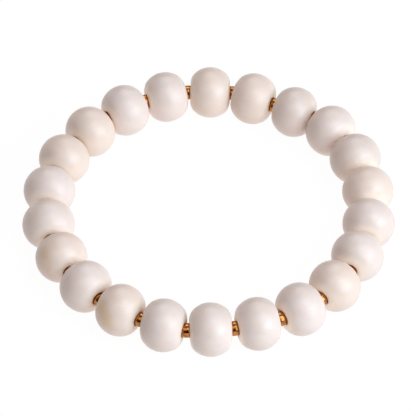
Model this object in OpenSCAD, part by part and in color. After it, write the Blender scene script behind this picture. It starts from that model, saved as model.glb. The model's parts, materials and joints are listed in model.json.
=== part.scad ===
// Bone bead bracelet: a closed string of turned bone beads with a small gold spacer
// between each two, lying flat. Millimetres, +Z up, origin on the surface that it
// rests on, at the middle of the ring. Beads are numbered clockwise from the far side.

/* [String] */
// Number of bone beads, each followed by one spacer
bead_count = 22; // [20:1:26]
// Stretch of string left between two neighbouring beads
string_gap = 1.2; // [1.2:0.05:1.4]
// How far the beads differ in size and the string wanders, as a share of the real one
unevenness = 1; // [0:0.1:1]
// Diameter of the elastic cord
cord_d = 0.8; // [0.5:0.1:0.9]

/* [Bone beads] */
// Diameter of an even bead, measured across the string
bead_d = 11; // [10:0.5:12]
// Length of a bead along the string, as a share of its diameter
bead_length_share = 0.78; // [0.76:0.01:0.8]
// Radius of the arc round a bead's belly, as a share of its diameter
belly_share = 0.455; // [0.45:0.005:0.465]
// Radius of the soft shoulder at each end, as a share of its diameter
shoulder_share = 0.28; // [0.27:0.01:0.29]
// Diameter of the drilled hole
bore_d = 1.8; // [1.6:0.1:2]

/* [Gold spacers] */
// Diameter of a spacer at its belly
spacer_d = 3.1; // [2.8:0.1:3.2]
// Length of a spacer along the string
spacer_l = 2; // [1.8:0.1:2.2]
// Radius of the arc round a spacer's belly
spacer_belly_r = 2.4; // [2.2:0.1:4]
// Rounding of a spacer's edges
spacer_edge_r = 0.2; // [0.1:0.05:0.25]
// Diameter of the hole through a spacer
spacer_bore_d = 1.6; // [1.4:0.1:1.7]

/* [Hidden] */
$fn = 96;

// The string as it lies, one row a bead, in whole steps judged by eye: how much fuller and
// longer than an even bead it is, how far outwards the string swings at the spacer after
// it, and its tone
FULLER = 0;
LONGER = 1;
SWING = 2;
TONE = 3;
SIZE_STEP = 0.1;
SWING_STEP = 0.25;
STRING = [
    // fuller, longer, swing, tone
    [ 0,  0,  0, "cream"],
    [ 1,  0, -4, "cream"],
    [-1,  0,  1, "white"],
    [ 1,  0,  2, "white"],
    [ 0, -1, -1, "white"],
    [-1,  0, -1, "cream"],
    [ 0, -1, -2, "white"],
    [ 0, -1, -1, "white"],
    [-1,  0,  0, "cream"],
    [ 1,  0,  0, "white"],
    [ 0,  0, -1, "white"],
    [ 1,  0,  1, "white"],
    [ 0,  0,  0, "white"],
    [-1,  1,  0, "cream"],
    [ 0,  0, -1, "white"],
    [-1,  0,  0, "cream"],
    [ 0,  0,  1, "white"],
    [ 0,  0,  1, "white"],
    [-1,  0,  0, "cream"],
    [ 0,  1,  0, "cream"],
    [ 1,  1,  0, "white"],
    [-1,  0,  1, "white"],
];

// The size and the tone of each bead
function row(i) = STRING[(i + bead_count) % bead_count % len(STRING)];
function bead_wide(i) = bead_d + unevenness * SIZE_STEP * row(i)[FULLER];
function bead_long(i) =
    bead_d * bead_length_share + unevenness * SIZE_STEP * row(i)[LONGER];
function pitch(i) = bead_long(i) + string_gap;

// How far along the string each bead's stretch begins, and the whole string
TRAVEL = [for (i = 0, s = 0; i <= bead_count; s = s + pitch(i), i = i + 1) s];
string_l = TRAVEL[bead_count];

// The string bends at the spacers only: corners of a ring whose sides are the beads
corner_r = string_l / bead_count / (2 * sin(180 / bead_count));
function turn(s) = 90 - 360 * (s - pitch(0) / 2) / string_l;
function corner(i) =
    let (k = (i + bead_count) % bead_count, a = turn(TRAVEL[k + 1]))
    (corner_r + unevenness * SWING_STEP * row(k)[SWING]) * [cos(a), sin(a)];

// Each bead lies half way between two corners, on the surface, along the line between them
function unit(v) = v / norm(v);
function bead_axis(i) = unit(corner(i) - corner(i - 1));
function bead_middle(i) = (corner(i) + corner(i - 1)) / 2;
function bead_end(i, side) = bead_middle(i) + side * bead_axis(i) * bead_long(i) / 2;

// Each spacer is centred between the hole mouths that it joins
function spacer_axis(i) = unit(bead_axis(i) + bead_axis(i + 1));
function spacer_middle(i) = (bead_end(i, 1) + bead_end(i + 1, -1)) / 2;
function spacer_height(i) = (bead_wide(i) + bead_wide(i + 1)) / 4;

// A spacer sits a little way into a seat in each bead, with room for the string's bend
seat_clear = 0.12;
bend_room = 4;
sharpest_half_bend = 180 / bead_count + bend_room * unevenness;
seat_d = spacer_d + 2 * seat_clear + SIZE_STEP * unevenness;
seat_depth = (spacer_l - string_gap) / 2 + spacer_d / 2 * sin(sharpest_half_bend) + seat_clear;

// The cord's route: through every spacer, and straight through the middle of every bead
CORD_SIDES = 8;
CORD_IN_BEAD = 0.2;
function lift(v, z) = [v[0], v[1], z];
function cord_points(i) = [
    for (side = [-1, 1])
        lift(bead_middle(i) + side * CORD_IN_BEAD * bead_long(i) * bead_axis(i), bead_wide(i) / 2),
    lift(spacer_middle(i), spacer_height(i)),
];
CORD = [for (i = [0:bead_count - 1]) each cord_points(i)];

// A ring of points square to the route round each of its points
function cord_ring(k) =
    let (
        n = len(CORD),
        along = unit(CORD[(k + 1) % n] - CORD[(k + n - 1) % n]),
        across = unit(cross(along, [0, 0, 1])),
        up = cross(across, along)
    )
    [for (j = [0:CORD_SIDES - 1])
        let (a = 360 * (j + 0.5) / CORD_SIDES)
        CORD[k] + cord_d / 2 * (cos(a) * across + sin(a) * up)];

// The tone of the bone, and the gold and the cord
BONE_WHITE = [0.93, 0.89, 0.87];
BONE_CREAM = [0.90, 0.84, 0.78];
GOLD = [0.80, 0.55, 0.22];
CORD_CLEAR = [0.88, 0.88, 0.86];

function numbered(name, i) = str(name, i < 9 ? "_0" : "_", i + 1);
function bead_name(i) = numbered("bone_bead", i);
function spacer_name(i) = numbered("gold_spacer", i);
BEADS = [0:bead_count - 1];

// Where the rounding of a drum's edge is centred: it laps the belly arc by a hair, so
// that the two arcs cross instead of only touching
EDGE_LAP = 0.005;
function rounding_middle(d, l, belly_r, edge_r) =
    let (belly_x = d / 2 - belly_r, y = l / 2 - edge_r)
    [belly_x + sqrt(pow(belly_r - edge_r + EDGE_LAP, 2) - pow(y, 2)), y];

// Half outline of a drum that is turned round the Y axis: a belly arc that runs into a
// rounding at each end
module drum_outline(d, l, belly_r, edge_r) {
    belly_x = d / 2 - belly_r;
    rounding = rounding_middle(d, l, belly_r, edge_r);
    outward = d * unit(rounding - [belly_x, 0]);
    intersection() {
        translate([belly_x, 0])
            circle(r = belly_r);
        polygon([
            [belly_x, 0],
            [belly_x + outward[0], -outward[1]],
            [belly_x + outward[0], outward[1]]
        ]);
    }
    for (end = [-1, 1])
        translate([rounding[0], end * rounding[1]])
            circle(r = edge_r);
}

// Turns a piece whose axis stands up until it lies along the string
module along_string(middle, axis, height) {
    translate([middle[0], middle[1], height])
        rotate([0, 0, atan2(axis[1], axis[0])])
            rotate([0, 90, 0])
                children();
}

// Clears the axis of an outline, out to the hole's wall
module hole_outline(hole_d, l) {
    translate([-l, -l])
        square([l + hole_d / 2, 2 * l]);
}

// A bone bead, drilled through, with a round seat for the spacer at each end
module bone_bead(i) {
    d = bead_wide(i);
    l = bead_long(i);
    color(row(i)[TONE] == "cream" ? BONE_CREAM : BONE_WHITE)
        along_string(bead_middle(i), bead_axis(i), d / 2)
            rotate_extrude()
                difference() {
                    drum_outline(d, l, belly_share * d, shoulder_share * d);
                    hole_outline(bore_d, l);
                    for (end = [-1, 1])
                        translate([0, end * l / 2 - seat_depth])
                            square([seat_d / 2, 2 * seat_depth]);
                }
}

// A gold spacer: a short barrel with soft edges, flat ends and a hole through it
module gold_spacer(i) {
    rounding = rounding_middle(spacer_d, spacer_l, spacer_belly_r, spacer_edge_r);
    flat_l = spacer_l - 2 * EDGE_LAP;
    color(GOLD)
        along_string(spacer_middle(i), spacer_axis(i), spacer_height(i))
            rotate_extrude()
                difference() {
                    union() {
                        drum_outline(spacer_d, spacer_l, spacer_belly_r, spacer_edge_r);
                        translate([0, -flat_l / 2])
                            square([rounding[0], flat_l]);
                    }
                    hole_outline(spacer_bore_d, spacer_l);
                }
}

// The elastic cord, a closed loop through every hole
module elastic_cord() {
    n = len(CORD);
    color(CORD_CLEAR)
        polyhedron(
            points = [for (k = [0:n - 1]) each cord_ring(k)],
            faces = [
                for (k = [0:n - 1], j = [0:CORD_SIDES - 1])
                    let (
                        a = k * CORD_SIDES + j,
                        b = k * CORD_SIDES + (j + 1) % CORD_SIDES,
                        c = (k + 1) % n * CORD_SIDES + (j + 1) % CORD_SIDES,
                        d = (k + 1) % n * CORD_SIDES + j
                    )
                    each [[a, b, c], [a, c, d]]
            ]
        );
}

for (i = BEADS) {
    bone_bead(i);
    gold_spacer(i);
}
elastic_cord();
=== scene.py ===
"""Bone bead bracelet: turned bone beads with small gold spacers on an elastic cord.

Everything is in metres, +Z up, with the table at Z = 0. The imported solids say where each
bead and spacer lies and how large it is; here they get their finished surfaces.
"""

import json
import math

import bpy
import numpy as np
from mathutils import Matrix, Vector


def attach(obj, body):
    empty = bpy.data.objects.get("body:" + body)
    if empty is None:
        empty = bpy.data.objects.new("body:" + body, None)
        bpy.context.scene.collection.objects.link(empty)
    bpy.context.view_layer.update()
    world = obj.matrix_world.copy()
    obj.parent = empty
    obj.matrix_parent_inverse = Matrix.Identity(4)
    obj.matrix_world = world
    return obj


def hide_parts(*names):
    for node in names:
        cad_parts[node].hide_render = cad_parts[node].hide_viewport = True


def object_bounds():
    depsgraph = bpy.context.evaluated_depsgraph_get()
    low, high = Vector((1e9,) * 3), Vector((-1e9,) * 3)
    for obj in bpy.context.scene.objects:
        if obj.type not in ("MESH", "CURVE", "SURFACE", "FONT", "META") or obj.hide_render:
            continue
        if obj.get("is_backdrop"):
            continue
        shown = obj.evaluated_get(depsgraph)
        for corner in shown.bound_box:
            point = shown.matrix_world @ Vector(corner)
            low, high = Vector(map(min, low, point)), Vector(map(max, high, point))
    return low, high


bl_info = {
    "name": "Bone Bead Bracelet",
    "version": (1, 0, 0),
    "blender": (4, 5, 0),
    "location": "3D View > Sidebar > Bracelet",
    "description": "Dresses a string of turned bone beads and gold spacers",
    "category": "Object",
}

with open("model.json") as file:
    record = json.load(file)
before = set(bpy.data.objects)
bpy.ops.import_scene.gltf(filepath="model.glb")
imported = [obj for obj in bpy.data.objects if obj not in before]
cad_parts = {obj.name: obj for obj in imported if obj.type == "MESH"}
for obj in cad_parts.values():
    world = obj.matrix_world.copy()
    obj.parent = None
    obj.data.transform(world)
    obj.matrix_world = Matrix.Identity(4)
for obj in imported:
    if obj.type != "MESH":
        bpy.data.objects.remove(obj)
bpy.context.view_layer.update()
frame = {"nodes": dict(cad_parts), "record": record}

BODY = "root"
BEAD_NODES = sorted(name for name in frame["nodes"] if name.startswith("bone_bead"))
SPACER_NODES = sorted(name for name in frame["nodes"] if name.startswith("gold_spacer"))
CORD_NODE = "elastic_cord"
SLOTS = {part["node"]: part["material_slot"] for part in frame["record"]["subparts"]}

MM = 0.001

# How finely the pieces are made, and the seeds of their noise
BEAD_STEPS = 80
BEAD_SEED = 100
SPACER_STEPS = 48
SPACER_SEED = 300
PLACE_SEED = 7
CORD_SIDES = 16
# How far the cord runs straight each way from a bead's middle, as a share of the bead
CORD_IN_BEAD = 0.2
# Points nearer than this are one point where the lathe's sheet closes
WELD = 0.001 * MM
# Faces that meet more sharply than this keep a crisp edge
CRISP_EDGE = math.radians(50)
# The step from point to point round the rim of a hole, in radians
RIM_STEP = 0.5

# The studio: the lens's sensor, the soft lamps round the ring, and the floor
SENSOR_MM = 36.0
LAMP_SIZE = 0.7
LAMP_DISTANCE = 1.0
FLOOR_REACH = 4.0
FLOOR_SIDES = 96

# The beads that look duller than the rest of their kind
DULL_BEADS = (3, 5)
# The beads with a streak of tan stain, how strong it is, the side of the bead that it is
# on, and the way that it runs there
STAINED = {14: 1.0, 16: 0.4}
STAIN_SIDE = (-0.55, -0.72, 0.42)
STAIN_RUN = (0.34, -0.71, -0.61)
# The streak fades from its core to its edge, in bead radii. This share of the distance
# along its run doesn't count, which makes it longer than it is wide
STREAK_CORE = 0.06
STREAK_EDGE = 0.42
STREAK_STRETCH = 0.7

# What the tree stores on a piece for its finish to read
PLACE = "own_place"
DULLNESS = "own_dullness"
NEAR_HOLE = "near_hole"
STAIN = "own_stain"

# What the colour of bone, gold or elastic is multiplied by in each part of its finish
BONE_PATCH = (0.99, 0.97, 0.94)
BONE_BAND = (0.98, 0.95, 0.92)
BONE_FIBRE = (0.95, 0.90, 0.83)
BONE_PORE = (0.72, 0.60, 0.46)
BONE_DULL = (0.95, 0.94, 0.92)
BONE_STAIN = (0.98, 0.82, 0.54)
GOLD_PATCH = (0.40, 0.20, 0.10)
GOLD_RIM = (0.50, 0.35, 0.20)
ELASTIC_CLOUD = (0.94, 0.94, 0.94)

# The colours of the floor, the room's even light and the soft lamps
FLOOR_COLOUR = (0.05, 0.05, 0.05)
FLOOR_GRAIN = (0.04, 0.04, 0.04)
ROOM_COLOUR = (1.0, 0.985, 0.97)
COOL_LIGHT = (0.75, 0.9, 1.0)
PALE_LIGHT = (0.9, 0.95, 1.0)
WHITE_LIGHT = (1.0, 1.0, 1.0)
WARM_LIGHT = (1.0, 0.9, 0.85)


# Sizes and colours


class StageSettings(bpy.types.PropertyGroup):
    elevation: bpy.props.FloatProperty(
        name="Elevation",
        description="How high the camera looks down from",
        default=math.radians(47.1),
        subtype="ANGLE",
    )
    azimuth: bpy.props.FloatProperty(
        name="Azimuth",
        description="How far the camera stands round to the right of the front",
        default=math.radians(0.15),
        subtype="ANGLE",
    )
    distance: bpy.props.FloatProperty(
        name="Distance",
        description="From the camera to the middle of the ring",
        default=0.670,
        unit="LENGTH",
    )
    lens: bpy.props.FloatProperty(
        name="Lens",
        description="Focal length in millimetres, on a sensor 36 mm wide",
        default=275.3,
    )
    shift: bpy.props.FloatVectorProperty(
        name="Shift",
        description="Small shift of the frame, as a share of its width",
        size=2,
        default=(-0.0043, -0.0022),
    )
    key_power: bpy.props.FloatProperty(
        name="Key Power",
        description="Power of the soft light at the right of the front",
        default=5.0,
        unit="POWER",
    )
    side_power: bpy.props.FloatProperty(
        name="Side Power",
        description="Power of the soft light at the right",
        default=4.5,
        unit="POWER",
    )
    top_power: bpy.props.FloatProperty(
        name="Top Power",
        description="Power of the soft light high above the right",
        default=4.5,
        unit="POWER",
    )
    left_power: bpy.props.FloatProperty(
        name="Left Power",
        description="Power of the soft light high above the left",
        default=1.5,
        unit="POWER",
    )
    back_power: bpy.props.FloatProperty(
        name="Back Power",
        description="Power of the soft light behind",
        default=2.5,
        unit="POWER",
    )
    low_power: bpy.props.FloatProperty(
        name="Low Power",
        description="Power of the low soft light at the back left",
        default=1.0,
        unit="POWER",
    )
    room_light: bpy.props.FloatProperty(
        name="Room Light",
        description="Even light from all round",
        default=0.0,
    )
    floor_glow: bpy.props.FloatProperty(
        name="Floor Glow",
        description="Light that comes up through the white floor",
        default=0.96,
    )


class BeadSettings(bpy.types.PropertyGroup):
    belly_share: bpy.props.FloatProperty(
        name="Belly",
        description="Radius of the arc round the belly, as a share of the diameter",
        default=0.455,
        subtype="FACTOR",
    )
    shoulder_share: bpy.props.FloatProperty(
        name="Shoulder",
        description="Radius of the soft shoulder, as a share of the diameter",
        default=0.28,
        subtype="FACTOR",
    )
    hole: bpy.props.FloatProperty(
        name="Hole",
        description="Diameter of the drilled hole",
        default=1.8 * MM,
        unit="LENGTH",
    )
    seat: bpy.props.FloatProperty(
        name="Seat",
        description="Diameter of the seat that the spacer sits in",
        default=3.18 * MM,
        unit="LENGTH",
    )
    seat_depth: bpy.props.FloatProperty(
        name="Seat Depth",
        description="Depth of the seat below the end of the bead",
        default=0.80 * MM,
        unit="LENGTH",
    )
    mouth: bpy.props.FloatProperty(
        name="Mouth",
        description="Radius that the mouth of the seat is polished to",
        default=0.06 * MM,
        unit="LENGTH",
    )
    lump_height: bpy.props.FloatProperty(
        name="Lump Height",
        description="How far the hand-finished surface strays from a true turned one",
        default=0.06 * MM,
        unit="LENGTH",
    )
    lump_size: bpy.props.FloatProperty(
        name="Lump Size",
        description="How wide those lumps and hollows are",
        default=6 * MM,
        unit="LENGTH",
    )
    white: bpy.props.FloatVectorProperty(
        name="White Bone",
        description="Colour of the whiter beads",
        size=3,
        subtype="COLOR",
        default=(0.79, 0.65, 0.60),
    )
    cream: bpy.props.FloatVectorProperty(
        name="Cream Bone",
        description="Colour of the creamier beads",
        size=3,
        subtype="COLOR",
        default=(0.80, 0.64, 0.56),
    )
    # Sets how far the painted light round each hole reaches, and where the surface's lumps begin
    mouth_reach: bpy.props.FloatProperty(
        name="Mouth Reach",
        description="How far the paler, smoother bone reaches out from the seat",
        default=3.0 * MM,
        unit="LENGTH",
    )
    # Painted light: a lighter bone colour round each hole that stands in for light coming through
    # the bone into the crevices between beads
    crevice_light_colour: bpy.props.FloatVectorProperty(
        name="Painted Crevice Light",
        description="Colour of the paler bone at the mouth of the hole",
        size=3,
        subtype="COLOR",
        default=(1.0, 0.87, 0.76),
    )


class SpacerSettings(bpy.types.PropertyGroup):
    belly_radius: bpy.props.FloatProperty(
        name="Belly",
        description="Radius of the arc round the barrel",
        default=2.4 * MM,
        unit="LENGTH",
    )
    edge_radius: bpy.props.FloatProperty(
        name="Edge",
        description="Rounding of the barrel's edges",
        default=0.2 * MM,
        unit="LENGTH",
    )
    hole: bpy.props.FloatProperty(
        name="Hole",
        description="Diameter of the hole through the barrel",
        default=1.6 * MM,
        unit="LENGTH",
    )
    mouth: bpy.props.FloatProperty(
        name="Mouth",
        description="Rounding of the hole's rim",
        default=0.06 * MM,
        unit="LENGTH",
    )
    lump_height: bpy.props.FloatProperty(
        name="Lump Height",
        description="How far the handled surface strays from a true barrel",
        default=0.02 * MM,
        unit="LENGTH",
    )
    lump_size: bpy.props.FloatProperty(
        name="Lump Size",
        description="How wide those lumps and hollows are",
        default=1.0 * MM,
        unit="LENGTH",
    )
    gold: bpy.props.FloatVectorProperty(
        name="Gold",
        description="Colour of the polished gold",
        size=3,
        subtype="COLOR",
        default=(0.58, 0.25, 0.07),
    )


class CordSettings(bpy.types.PropertyGroup):
    diameter: bpy.props.FloatProperty(
        name="Diameter",
        description="Diameter of the elastic cord",
        default=0.8 * MM,
        unit="LENGTH",
    )
    clear: bpy.props.FloatVectorProperty(
        name="Elastic",
        description="Colour of the milky elastic",
        size=3,
        subtype="COLOR",
        default=(0.86, 0.86, 0.83),
    )


class BraceletSettings(bpy.types.PropertyGroup):
    stage: bpy.props.PointerProperty(type=StageSettings)
    beads: bpy.props.PointerProperty(type=BeadSettings)
    spacers: bpy.props.PointerProperty(type=SpacerSettings)
    cord: bpy.props.PointerProperty(type=CordSettings)


# Where a solid lies


def solid_points(node):
    """The corners of a solid's mesh, and its faces' middles and areas."""
    mesh = frame["nodes"][node].data
    points = np.empty(len(mesh.vertices) * 3, np.float32)
    mesh.vertices.foreach_get("co", points)
    middles = np.empty(len(mesh.polygons) * 3, np.float32)
    mesh.polygons.foreach_get("center", middles)
    areas = np.empty(len(mesh.polygons), np.float32)
    mesh.polygons.foreach_get("area", areas)
    shape = (-1, 3)
    return points.reshape(shape).astype(float), middles.reshape(shape).astype(float), areas


def lie_of(node):
    """Middle, axis, heading, diameter and length of a turned solid that lies level."""
    points, middles, areas = solid_points(node)
    low, high = points.min(0), points.max(0)
    middle = (low + high) / 2
    level = middles[:, :2] - middle[:2]
    spread, ways = np.linalg.eigh((level * areas[:, None]).T @ level)
    axis = ways[:, 0]
    along = (points[:, :2] - middle[:2]) @ axis
    return {
        "middle": Vector(middle),
        "axis": Vector((axis[0], axis[1], 0)),
        "heading": math.atan2(axis[1], axis[0]),
        "wide": float(high[2] - low[2]),
        "long": float(along.max() - along.min()),
    }


# Outlines for the lathe: half of a section, as (radius, height) points round its edge


def arc(middle, radius, start, end, step):
    """Points on an arc from one angle to another, both ends included."""
    count = max(2, math.ceil(abs(end - start) / step))
    angles = [start + (end - start) * k / count for k in range(count + 1)]
    return [
        (middle[0] + radius * math.cos(a), middle[1] + radius * math.sin(a)) for a in angles
    ]


def belly_and_rounding(wide, long, belly_radius, edge_radius):
    """The belly's middle, the middle of the rounding it runs into, and the angle there."""
    belly = (wide / 2 - belly_radius, 0.0)
    height = long / 2 - edge_radius
    reach = math.sqrt((belly_radius - edge_radius) ** 2 - height**2)
    rounding = (belly[0] + reach, height)
    return belly, rounding, math.atan2(height, reach)


def closed_outline(upper):
    """The upper half of an outline and its mirror image, as one loop."""
    lower = [(r, -h) for r, h in reversed(upper)]
    return lower + upper[1:]


def bead_outline(wide, long, s):
    """A drum with soft shoulders, drilled through, with a seat at each end."""
    belly_radius, shoulder = s.belly_share * wide, s.shoulder_share * wide
    belly, rounding, meet = belly_and_rounding(wide, long, belly_radius, shoulder)
    mouth_r = s.seat / 2 + s.mouth
    mouth_h = rounding[1] + math.sqrt((shoulder - s.mouth) ** 2 - (mouth_r - rounding[0]) ** 2)
    turn = math.atan2(mouth_h - rounding[1], mouth_r - rounding[0])
    floor = long / 2 - s.seat_depth
    rim = (s.hole / 2 + s.mouth, floor - s.mouth)
    upper = arc(belly, belly_radius, 0, meet, step=math.radians(2.5))
    upper += arc(rounding, shoulder, meet, turn, step=math.radians(4))[1:]
    upper += arc((mouth_r, mouth_h), s.mouth, turn, math.pi, step=math.radians(15))[1:]
    upper += [(s.seat / 2, floor)]
    upper += arc(rim, s.mouth, math.pi / 2, math.pi, step=RIM_STEP)
    upper += [(s.hole / 2, floor / 2)]
    return closed_outline(upper)


def spacer_outline(wide, long, s):
    """A short barrel with soft edges, flat ends and a hole through it."""
    belly, rounding, meet = belly_and_rounding(wide, long, s.belly_radius, s.edge_radius)
    rim = (s.hole / 2 + s.mouth, long / 2 - s.mouth)
    upper = arc(belly, s.belly_radius, 0, meet, step=math.radians(3))
    upper += arc(rounding, s.edge_radius, meet, math.pi / 2, step=math.radians(12))[1:]
    upper += arc(rim, s.mouth, math.pi / 2, math.pi, step=RIM_STEP)
    return closed_outline(upper)


# Geometry node trees


def feed(tree, socket, value):
    """Gives a node's input a plain value, or a link from another node's output."""
    if isinstance(value, bpy.types.NodeSocket):
        tree.links.new(value, socket)
    else:
        socket.default_value = value


def add_node(tree, kind, values=None, **settings):
    """A new node with its settings, and plain values or links for its inputs."""
    node = tree.nodes.new(kind)
    for name, value in settings.items():
        setattr(node, name, value)
    for name, value in (values or {}).items():
        feed(tree, node.inputs[name], value)
    return node


def new_tree(name, inputs):
    """An empty geometry node tree with named inputs, and its input node."""
    tree = bpy.data.node_groups.new(name, "GeometryNodeTree")
    for label, kind in inputs:
        tree.interface.new_socket(label, in_out="INPUT", socket_type="NodeSocket" + kind)
    tree.interface.new_socket("Piece", in_out="OUTPUT", socket_type="NodeSocketGeometry")
    return tree, tree.nodes.new("NodeGroupInput").outputs


def end_tree(tree, geometry, finish):
    """Smooth shading, real geometry and the finish come last."""
    smooth = add_node(tree, "GeometryNodeSetShadeSmooth", {"Geometry": geometry})
    real = add_node(tree, "GeometryNodeRealizeInstances", {"Geometry": smooth.outputs[0]})
    dress = add_node(
        tree, "GeometryNodeSetMaterial", {"Geometry": real.outputs[0], "Material": finish}
    )
    tree.links.new(dress.outputs[0], tree.nodes.new("NodeGroupOutput").inputs[0])
    return tree


def maths(tree, operation, a, b=0.0):
    """One step of arithmetic on two values."""
    return add_node(tree, "ShaderNodeMath", {0: a, 1: b}, operation=operation).outputs[0]


def scaled(tree, vector, scale):
    """A vector made longer or shorter by a value."""
    given = {0: vector, "Scale": scale}
    return add_node(tree, "ShaderNodeVectorMath", given, operation="SCALE").outputs[0]


def vectors(tree, operation, a, b=None, output="Vector"):
    """Vector maths, such as a sum, or the length of a vector as a value."""
    given = {0: a} if b is None else {0: a, 1: b}
    node = add_node(tree, "ShaderNodeVectorMath", given, operation=operation)
    return node.outputs[output]


def kept(tree, geometry, name, value, kind="FLOAT"):
    """Stores a value on the points of the piece, for its finish to read."""
    return add_node(
        tree,
        "GeometryNodeStoreNamedAttribute",
        {"Geometry": geometry, "Name": name, "Value": value},
        data_type=kind,
        domain="POINT",
    ).outputs[0]


def lathe_tree():
    """Turns an outline round its axis, gives the surface its hand-finished lumps, and lays
    the piece on the table with its axis level."""
    tree, given = new_tree(
        "Lathe",
        [
            ("Outline", "Object"),
            ("Steps Round", "Int"),
            ("Lump Height", "Float"),
            ("Lump Size", "Float"),
            ("Lumps From", "Float"),
            ("Lumps Full", "Float"),
            ("Seed", "Int"),
            ("Dullness", "Float"),
            ("Stain", "Float"),
            ("Stain Side", "Vector"),
            ("Stain Run", "Vector"),
            ("Middle", "Vector"),
            ("Heading", "Float"),
            ("Finish", "Material"),
        ],
    )
    outline = add_node(tree, "GeometryNodeObjectInfo", {"Object": given["Outline"]})
    points = outline.outputs["Geometry"]
    count = add_node(tree, "GeometryNodeAttributeDomainSize", {"Geometry": points})
    count = count.outputs["Point Count"]
    sheet = add_node(
        tree,
        "GeometryNodeMeshGrid",
        {
            "Size X": 1.0,
            "Size Y": 1.0,
            "Vertices X": maths(tree, "ADD", count, 1.0),
            "Vertices Y": maths(tree, "ADD", given["Steps Round"], 1.0),
        },
    )
    spot = add_node(tree, "GeometryNodeInputPosition").outputs[0]
    split = add_node(tree, "ShaderNodeSeparateXYZ", {"Vector": spot}).outputs
    edge_share = maths(tree, "ADD", split["X"], 0.5)
    turn_share = maths(tree, "ADD", split["Y"], 0.5)
    index = maths(tree, "ROUND", maths(tree, "MULTIPLY", edge_share, count))
    index = maths(tree, "FLOORED_MODULO", index, count)
    sample = add_node(
        tree,
        "GeometryNodeSampleIndex",
        {"Geometry": points, "Value": spot, "Index": index},
        data_type="FLOAT_VECTOR",
        domain="POINT",
    )
    turned = add_node(
        tree,
        "ShaderNodeVectorRotate",
        {
            "Vector": sample.outputs["Value"],
            "Angle": maths(tree, "MULTIPLY", turn_share, -2 * math.pi),
        },
        rotation_type="Z_AXIS",
    )
    shell = add_node(
        tree,
        "GeometryNodeSetPosition",
        {"Geometry": sheet.outputs["Mesh"], "Position": turned.outputs[0]},
    )
    closed = add_node(
        tree, "GeometryNodeMergeByDistance", {"Geometry": shell.outputs[0], "Distance": WELD}
    )

    # Each piece reads its own stretch of the same noise
    stretch = add_node(
        tree,
        "FunctionNodeRandomValue",
        {"Min": (-1, -1, -1), "Max": (1, 1, 1), "ID": given["Seed"], "Seed": PLACE_SEED},
        data_type="FLOAT_VECTOR",
    ).outputs[0]
    own = vectors(tree, "ADD", spot, stretch)
    noise = add_node(
        tree,
        "ShaderNodeTexNoise",
        {
            "Vector": own,
            "Scale": maths(tree, "DIVIDE", 1.0, given["Lump Size"]),
            "Detail": 1.0,
            "Roughness": 0.4,
        },
    )
    swing = maths(tree, "MULTIPLY", maths(tree, "SUBTRACT", noise.outputs[0], 0.5), 2.0)
    radius = vectors(tree, "LENGTH", vectors(tree, "MULTIPLY", spot, (1, 1, 0)), output="Value")
    outside = add_node(
        tree,
        "ShaderNodeMapRange",
        {
            "Value": radius,
            "From Min": given["Lumps From"],
            "From Max": given["Lumps Full"],
        },
        interpolation_type="SMOOTHSTEP",
    ).outputs[0]
    share = maths(tree, "MULTIPLY", swing, outside)
    height = maths(tree, "MULTIPLY", share, given["Lump Height"])
    normal = add_node(tree, "GeometryNodeInputNormal").outputs[0]
    lumpy = add_node(
        tree,
        "GeometryNodeSetPosition",
        {"Geometry": closed.outputs[0], "Offset": scaled(tree, normal, height)},
    )

    # What the finish reads: the place in the piece's own stretch, how dull the piece is,
    # and how near the hole the surface is
    stored = kept(tree, lumpy.outputs[0], PLACE, own, "FLOAT_VECTOR")
    stored = kept(tree, stored, DULLNESS, given["Dullness"])
    stored = kept(tree, stored, NEAR_HOLE, maths(tree, "SUBTRACT", 1.0, outside))
    lie = add_node(
        tree,
        "ShaderNodeCombineXYZ",
        {"Y": math.pi / 2, "Z": given["Heading"]},
    )
    laid = add_node(
        tree,
        "GeometryNodeTransform",
        {"Geometry": stored, "Translation": given["Middle"], "Rotation": lie.outputs[0]},
    )

    # The stain is a streak on one side of the bead as it lies, longer than it is wide
    outwards = vectors(tree, "NORMALIZE", vectors(tree, "SUBTRACT", spot, given["Middle"]))
    off = vectors(tree, "SUBTRACT", outwards, given["Stain Side"])
    along = vectors(tree, "DOT_PRODUCT", off, given["Stain Run"], "Value")
    run = scaled(tree, given["Stain Run"], maths(tree, "MULTIPLY", along, STREAK_STRETCH))
    distance = vectors(tree, "LENGTH", vectors(tree, "SUBTRACT", off, run), output="Value")
    streak = add_node(
        tree,
        "ShaderNodeMapRange",
        {
            "Value": distance,
            "From Min": STREAK_CORE,
            "From Max": STREAK_EDGE,
            "To Min": 1.0,
            "To Max": 0.0,
        },
        interpolation_type="SMOOTHSTEP",
    ).outputs[0]
    stained = kept(tree, laid.outputs[0], STAIN, maths(tree, "MULTIPLY", streak, given["Stain"]))
    return end_tree(tree, stained, given["Finish"])


def cord_tree():
    """Draws a round cord along a closed route."""
    tree, given = new_tree(
        "Cord",
        [("Route", "Object"), ("Diameter", "Float"), ("Sides", "Int"), ("Finish", "Material")],
    )
    route = add_node(tree, "GeometryNodeObjectInfo", {"Object": given["Route"]})
    line = add_node(tree, "GeometryNodeMeshToCurve", {"Mesh": route.outputs["Geometry"]})
    round_edge = add_node(
        tree,
        "GeometryNodeCurvePrimitiveCircle",
        {"Resolution": given["Sides"], "Radius": maths(tree, "DIVIDE", given["Diameter"], 2.0)},
    )
    tube = add_node(
        tree,
        "GeometryNodeCurveToMesh",
        {"Curve": line.outputs[0], "Profile Curve": round_edge.outputs[0]},
    )
    return end_tree(tree, tube.outputs[0], given["Finish"])


def guide(name, points):
    """A closed line of points that a tree reads, linked to nothing."""
    mesh = bpy.data.meshes.new(name)
    count = len(points)
    edges = [(k, (k + 1) % count) for k in range(count)]
    mesh.from_pydata([tuple(p) for p in points], edges, [])
    return bpy.data.objects.new(name, mesh)


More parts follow.
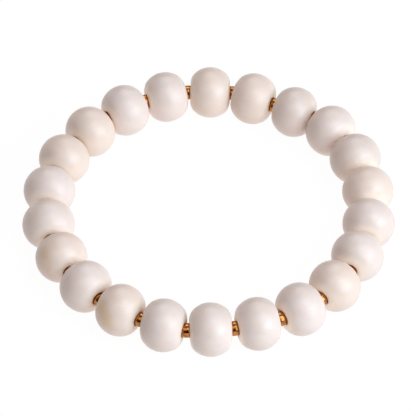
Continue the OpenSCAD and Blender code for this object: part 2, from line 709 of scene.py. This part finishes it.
def grown(name, tree, values):
    """Runs a tree with the given input values and returns its result as a plain piece."""
    host = bpy.data.objects.new(name, bpy.data.meshes.new(name + "_host"))
    bpy.context.scene.collection.objects.link(host)
    grower = host.modifiers.new("Grow", "NODES")
    grower.node_group = tree
    sockets = {
        item.name: item.identifier
        for item in tree.interface.items_tree
        if item.item_type == "SOCKET" and item.in_out == "INPUT"
    }
    for label, value in values.items():
        grower[sockets[label]] = value
    view_graph = bpy.context.evaluated_depsgraph_get()
    mesh = bpy.data.meshes.new_from_object(
        host.evaluated_get(view_graph), preserve_all_data_layers=True, depsgraph=view_graph
    )
    host_mesh = host.data
    host.modifiers.remove(grower)
    host.data = mesh
    mesh.name = name
    bpy.data.meshes.remove(host_mesh)
    if not mesh.polygons:
        raise RuntimeError(f"{name} came out empty")
    mesh.materials.clear()
    mesh.materials.append(values["Finish"])
    mesh.set_sharp_from_angle(angle=CRISP_EDGE)
    return host


def stand_for(piece, node):
    """The piece takes the solid's place on the bracelet."""
    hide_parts(node)
    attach(piece, BODY)


def drop(thing):
    """Removes a guide once its tree has run."""
    mesh = thing.data
    bpy.data.objects.remove(thing)
    bpy.data.meshes.remove(mesh)


# Finishes


def new_finish(name):
    """A material with its shader node, and its tree."""
    finish = bpy.data.materials.new(name)
    finish.use_nodes = True
    tree = finish.node_tree
    shader = next(node for node in tree.nodes if node.type == "BSDF_PRINCIPLED")
    return finish, tree, shader


def read_own(tree, name, output="Vector"):
    """What the tree stored on the piece under this name."""
    return add_node(tree, "ShaderNodeAttribute", attribute_name=name).outputs[output]


def noise_at(tree, where, size, detail=2.0, stretch=None):
    """Noise whose lumps are about the given size in metres."""
    if stretch:
        where = add_node(tree, "ShaderNodeMapping", {"Vector": where, "Scale": stretch}).outputs[0]
    return add_node(
        tree,
        "ShaderNodeTexNoise",
        {"Vector": where, "Scale": 1.0 / size, "Detail": detail, "Roughness": 0.5},
    ).outputs["Fac"]


def ranged(tree, value, low, high, to_low, to_high, smooth=False):
    """A value moved from one range to another and kept within it."""
    return add_node(
        tree,
        "ShaderNodeMapRange",
        {"Value": value, "From Min": low, "From Max": high, "To Min": to_low, "To Max": to_high},
        interpolation_type="SMOOTHSTEP" if smooth else "LINEAR",
    ).outputs[0]


def mixed(tree, share, first, second, blend="MIX"):
    """One colour laid over another, by a share."""
    node = add_node(tree, "ShaderNodeMix", data_type="RGBA", blend_type=blend)
    colours = [socket for socket in node.inputs if socket.type == "RGBA"]
    for socket, value in zip([node.inputs[0], *colours], (share, first, second)):
        feed(tree, socket, value)
    return next(socket for socket in node.outputs if socket.type == "RGBA")


def opaque(colour, factor=(1, 1, 1)):
    """A colour for a node's input, made darker or warmer by a factor on each of its parts."""
    return [c * f for c, f in zip(colour, factor)] + [1.0]


def bone_finish(name, colour, crevice_light_colour):
    """Polished bone: cloudy patches, faint bands and fibres along the bead, a few fine
    pores, a duller tone or a tan streak where the piece has one, and painted light at the
    mouth of the hole: a lighter colour that stands in for light through the bone."""
    finish, tree, shader = new_finish(name)
    place = read_own(tree, PLACE)
    clouds = noise_at(tree, place, 4.0 * MM, detail=2.0)
    fibres = noise_at(tree, place, 0.5 * MM, detail=3.0, stretch=(1, 1, 0.12))
    bands = noise_at(tree, place, 1.6 * MM, detail=2.0, stretch=(1, 1, 0.35))
    drawn_out = add_node(tree, "ShaderNodeMapping", {"Vector": place, "Scale": (1, 1, 0.3)})
    pores = add_node(
        tree,
        "ShaderNodeTexVoronoi",
        {"Vector": drawn_out.outputs[0], "Scale": 1.0 / (0.9 * MM)},
    ).outputs["Distance"]

    body = mixed(
        tree,
        ranged(tree, clouds, 0.35, 0.65, 0.0, 1.0, True),
        opaque(colour),
        opaque(colour, BONE_PATCH),
    )
    share = ranged(tree, bands, 0.45, 0.7, 0.0, 0.5, True)
    body = mixed(tree, share, body, opaque(colour, BONE_BAND))
    share = ranged(tree, fibres, 0.55, 0.75, 0.0, 0.6)
    body = mixed(tree, share, body, opaque(colour, BONE_FIBRE))
    share = ranged(tree, pores, 0.04, 0.10, 0.45, 0.0)
    body = mixed(tree, share, body, opaque(colour, BONE_PORE))
    dullness = read_own(tree, DULLNESS, "Fac")
    body = mixed(tree, dullness, body, opaque(BONE_DULL), "MULTIPLY")
    blotch = ranged(tree, clouds, 0.3, 0.6, 0.5, 1.0, True)
    stain = maths(tree, "MULTIPLY", read_own(tree, STAIN, "Fac"), blotch)
    body = mixed(tree, stain, body, opaque(BONE_STAIN), "MULTIPLY")
    # Painted light: a lighter colour round the hole that stands in for light coming through the
    # bone into the crevices between beads
    body = mixed(tree, read_own(tree, NEAR_HOLE, "Fac"), body, opaque(crevice_light_colour))
    tree.links.new(body, shader.inputs["Base Color"])

    from_clouds = maths(tree, "MULTIPLY", clouds, 0.6)
    from_fibres = maths(tree, "MULTIPLY", fibres, 0.4)
    gloss = maths(tree, "ADD", from_clouds, from_fibres)
    tree.links.new(ranged(tree, gloss, 0.3, 0.7, 0.32, 0.42), shader.inputs["Roughness"])
    relief = maths(
        tree,
        "ADD",
        ranged(tree, pores, 0.0, 0.12, -1.0, 0.0, True),
        maths(tree, "MULTIPLY", fibres, 0.5),
    )
    bump = add_node(
        tree,
        "ShaderNodeBump",
        {"Strength": 0.35, "Distance": 0.02 * MM, "Height": relief},
    )
    tree.links.new(bump.outputs[0], shader.inputs["Normal"])
    shader.inputs["IOR"].default_value = 1.54
    return finish


def gold_finish(colour):
    """Worn gold with darker, duller patches and fine turning lines."""
    finish, tree, shader = new_finish("handled_gold")
    place = read_own(tree, PLACE)
    clouds = noise_at(tree, place, 0.6 * MM, detail=3.0)
    turning = noise_at(tree, place, 0.12 * MM, detail=2.0, stretch=(0.08, 0.08, 1))
    body = mixed(
        tree,
        ranged(tree, clouds, 0.35, 0.7, 0.0, 0.7, True),
        opaque(colour),
        opaque(colour, GOLD_PATCH),
    )
    rim = ranged(tree, read_own(tree, NEAR_HOLE, "Fac"), 0.0, 1.0, 0.0, 0.5)
    body = mixed(tree, rim, body, opaque(colour, GOLD_RIM))
    tree.links.new(body, shader.inputs["Base Color"])
    tree.links.new(ranged(tree, clouds, 0.3, 0.7, 0.13, 0.30), shader.inputs["Roughness"])
    bump = add_node(
        tree,
        "ShaderNodeBump",
        {"Strength": 0.15, "Distance": 0.005 * MM, "Height": turning},
    )
    tree.links.new(bump.outputs[0], shader.inputs["Normal"])
    shader.inputs["Metallic"].default_value = 1.0
    return finish


def elastic_finish(colour):
    """Milky elastic, faintly cloudy, with a fine grain."""
    finish, tree, shader = new_finish("milky_elastic")
    place = add_node(tree, "ShaderNodeTexCoord").outputs["Object"]
    clouds = noise_at(tree, place, 1.5 * MM, detail=2.0)
    share = ranged(tree, clouds, 0.35, 0.65, 0.0, 1.0)
    body = mixed(tree, share, opaque(colour), opaque(colour, ELASTIC_CLOUD))
    tree.links.new(body, shader.inputs["Base Color"])
    tree.links.new(ranged(tree, clouds, 0.3, 0.7, 0.25, 0.4), shader.inputs["Roughness"])
    bump = add_node(
        tree,
        "ShaderNodeBump",
        {"Strength": 0.2, "Distance": 0.01 * MM, "Height": noise_at(tree, place, 0.2 * MM)},
    )
    tree.links.new(bump.outputs[0], shader.inputs["Normal"])
    shader.inputs["IOR"].default_value = 1.45
    shader.inputs["Subsurface Weight"].default_value = 0.4
    shader.inputs["Subsurface Radius"].default_value = (0.5, 0.5, 0.45)
    shader.inputs["Subsurface Scale"].default_value = 0.5 * MM
    return finish


# Where the camera and the lamps stand


def direction(azimuth, elevation):
    """From the middle of the ring towards a camera or lamp; azimuth 0 is the front."""
    level = math.cos(elevation)
    return Vector(
        (math.sin(azimuth) * level, -math.cos(azimuth) * level, math.sin(elevation))
    )


# Operators


class BRACELET_OT_stage(bpy.types.Operator):
    """Set up the camera, the soft studio light and the pale floor"""

    bl_idname = "bracelet.stage"
    bl_label = "Stage"

    def execute(self, context):
        s = context.scene.bracelet.stage
        low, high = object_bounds()
        middle = Vector((0, 0, (low.z + high.z) / 2))
        self.camera(context, s, middle)
        self.lights(context, s, middle)
        self.floor(context, s)
        context.scene.view_settings.view_transform = "Standard"
        return {"FINISHED"}

    def camera(self, context, s, middle):
        """A long lens that looks down at the middle of the ring."""
        back = direction(s.azimuth, s.elevation)
        lens = bpy.data.cameras.new("Camera")
        lens.sensor_width = SENSOR_MM
        lens.lens = s.lens
        lens.shift_x, lens.shift_y = s.shift
        lens.clip_start, lens.clip_end = 0.01, 20.0
        camera = bpy.data.objects.new("Camera", lens)
        camera.location = middle + back * s.distance
        camera.rotation_euler = (-back).to_track_quat("-Z", "Y").to_euler()
        context.scene.collection.objects.link(camera)
        context.scene.camera = camera

    def lights(self, context, s, middle):
        """Soft round lamps that face the middle of the ring, and the room's even light."""
        for name, power, azimuth, elevation, colour in (
            ("Key", s.key_power, 45, 30, COOL_LIGHT),
            ("Side", s.side_power, 70, 25, COOL_LIGHT),
            ("Top", s.top_power, 60, 65, PALE_LIGHT),
            ("Left", s.left_power, -30, 60, WARM_LIGHT),
            ("Back", s.back_power, 180, 45, WHITE_LIGHT),
            ("Low", s.low_power, 225, 15, WHITE_LIGHT),
        ):
            lamp = bpy.data.lights.new(name, "AREA")
            lamp.shape = "DISK"
            lamp.size = LAMP_SIZE
            lamp.energy = power
            lamp.color = colour
            thing = bpy.data.objects.new(name, lamp)
            back = direction(math.radians(azimuth), math.radians(elevation))
            thing.location = middle + back * LAMP_DISTANCE
            thing.rotation_euler = (-back).to_track_quat("-Z", "Y").to_euler()
            context.scene.collection.objects.link(thing)
        world = bpy.data.worlds.new("Room")
        world.use_nodes = True
        room = next(n for n in world.node_tree.nodes if n.type == "BACKGROUND")
        room.inputs["Color"].default_value = opaque(ROOM_COLOUR)
        room.inputs["Strength"].default_value = s.room_light
        context.scene.world = world

    def floor(self, context, s):
        """A round floor that glows, so that it shows white."""
        turns = [2 * math.pi * k / FLOOR_SIDES for k in range(FLOOR_SIDES)]
        rim = [(FLOOR_REACH * math.cos(a), FLOOR_REACH * math.sin(a), 0) for a in turns]
        mesh = bpy.data.meshes.new("Floor")
        mesh.from_pydata(rim, [], [range(FLOOR_SIDES)])
        finish, tree, shader = new_finish("pale_floor")
        place = add_node(tree, "ShaderNodeTexCoord").outputs["Object"]
        grain = ranged(tree, noise_at(tree, place, 30 * MM), 0.3, 0.7, 0.0, 1.0)
        body = mixed(tree, grain, opaque(FLOOR_COLOUR), opaque(FLOOR_GRAIN))
        tree.links.new(body, shader.inputs["Base Color"])
        shader.inputs["Roughness"].default_value = 0.9
        shader.inputs["Specular IOR Level"].default_value = 0.1
        shader.inputs["Emission Color"].default_value = (1, 1, 1, 1)
        shader.inputs["Emission Strength"].default_value = s.floor_glow
        mesh.materials.append(finish)
        floor = bpy.data.objects.new("Floor", mesh)
        context.scene.collection.objects.link(floor)
        floor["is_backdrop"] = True


class BRACELET_OT_bone_beads(bpy.types.Operator):
    """Turn the bone beads, with their seats and hand-finished surfaces"""

    bl_idname = "bracelet.bone_beads"
    bl_label = "Bone Beads"

    def execute(self, context):
        s = context.scene.bracelet.beads
        finishes = {
            "white_bone": bone_finish("polished_white_bone", s.white, s.crevice_light_colour),
            "cream_bone": bone_finish("polished_cream_bone", s.cream, s.crevice_light_colour),
        }
        tree = lathe_tree()
        for i, node in enumerate(BEAD_NODES):
            lie = lie_of(node)
            outline = guide(
                "bead_outline", [(r, 0, h) for r, h in bead_outline(lie["wide"], lie["long"], s)]
            )
            piece = grown(
                node.replace("bone_bead", "turned_bead"),
                tree,
                {
                    "Outline": outline,
                    "Steps Round": BEAD_STEPS,
                    "Lump Height": s.lump_height,
                    "Lump Size": s.lump_size,
                    "Lumps From": s.seat / 2 + s.mouth,
                    "Lumps Full": s.seat / 2 + s.mouth_reach,
                    "Seed": BEAD_SEED + i,
                    "Dullness": 1.0 if i + 1 in DULL_BEADS else 0.0,
                    "Stain": STAINED.get(i + 1, 0.0),
                    "Stain Side": Vector(STAIN_SIDE).normalized(),
                    "Stain Run": Vector(STAIN_RUN).normalized(),
                    "Middle": lie["middle"],
                    "Heading": lie["heading"],
                    "Finish": finishes[SLOTS[node]],
                },
            )
            stand_for(piece, node)
            drop(outline)
        return {"FINISHED"}


class BRACELET_OT_gold_spacers(bpy.types.Operator):
    """Turn the small gold barrels between the beads"""

    bl_idname = "bracelet.gold_spacers"
    bl_label = "Gold Spacers"

    def execute(self, context):
        s = context.scene.bracelet.spacers
        finish = gold_finish(s.gold)
        tree = lathe_tree()
        for i, node in enumerate(SPACER_NODES):
            lie = lie_of(node)
            outline = guide(
                "spacer_outline",
                [(r, 0, h) for r, h in spacer_outline(lie["wide"], lie["long"], s)],
            )
            piece = grown(
                node.replace("gold_spacer", "barrel_spacer"),
                tree,
                {
                    "Outline": outline,
                    "Steps Round": SPACER_STEPS,
                    "Lump Height": s.lump_height,
                    "Lump Size": s.lump_size,
                    "Lumps From": s.hole / 2,
                    "Lumps Full": lie["wide"] / 2 - s.edge_radius,
                    "Seed": SPACER_SEED + i,
                    "Dullness": 0.0,
                    "Stain": 0.0,
                    "Stain Side": Vector((0, 0, 1)),
                    "Stain Run": Vector((1, 0, 0)),
                    "Middle": lie["middle"],
                    "Heading": lie["heading"],
                    "Finish": finish,
                },
            )
            stand_for(piece, node)
            drop(outline)
        return {"FINISHED"}


class BRACELET_OT_elastic_cord(bpy.types.Operator):
    """Draw the closed elastic cord through every hole"""

    bl_idname = "bracelet.elastic_cord"
    bl_label = "Elastic Cord"

    def execute(self, context):
        s = context.scene.bracelet.cord
        route = []
        for bead, spacer in zip(BEAD_NODES, SPACER_NODES):
            lie, after = lie_of(bead), lie_of(spacer)
            ahead = lie["axis"]
            if ahead.dot(after["middle"] - lie["middle"]) < 0:
                ahead = -ahead
            straight = CORD_IN_BEAD * lie["long"] * ahead
            route += [lie["middle"] - straight, lie["middle"] + straight, after["middle"]]
        line = guide("cord_route", route)
        piece = grown(
            "elastic_loop",
            cord_tree(),
            {
                "Route": line,
                "Diameter": s.diameter,
                "Sides": CORD_SIDES,
                "Finish": elastic_finish(s.clear),
            },
        )
        stand_for(piece, CORD_NODE)
        drop(line)
        return {"FINISHED"}


class BRACELET_PT_panel(bpy.types.Panel):
    """Bone Bead Bracelet"""

    bl_idname = "BRACELET_PT_panel"
    bl_label = "Bone Bead Bracelet"
    bl_space_type = "VIEW_3D"
    bl_region_type = "UI"
    bl_category = "Bracelet"

    def draw(self, context):
        settings = context.scene.bracelet
        for operator, group in (
            (BRACELET_OT_stage, settings.stage),
            (BRACELET_OT_bone_beads, settings.beads),
            (BRACELET_OT_gold_spacers, settings.spacers),
            (BRACELET_OT_elastic_cord, settings.cord),
        ):
            box = self.layout.box()
            box.operator(operator.bl_idname)
            for name in group.__annotations__:
                box.prop(group, name)


CLASSES = (
    StageSettings,
    BeadSettings,
    SpacerSettings,
    CordSettings,
    BraceletSettings,
    BRACELET_OT_stage,
    BRACELET_OT_bone_beads,
    BRACELET_OT_gold_spacers,
    BRACELET_OT_elastic_cord,
    BRACELET_PT_panel,
)


def register():
    for kind in CLASSES:
        bpy.utils.register_class(kind)
    bpy.types.Scene.bracelet = bpy.props.PointerProperty(type=BraceletSettings)


def unregister():
    del bpy.types.Scene.bracelet
    for kind in reversed(CLASSES):
        bpy.utils.unregister_class(kind)


def main():
    """Makes the whole scene."""
    register()
    bpy.ops.bracelet.stage()
    bpy.ops.bracelet.bone_beads()
    bpy.ops.bracelet.gold_spacers()
    bpy.ops.bracelet.elastic_cord()


if __name__ == "__main__":
    main()
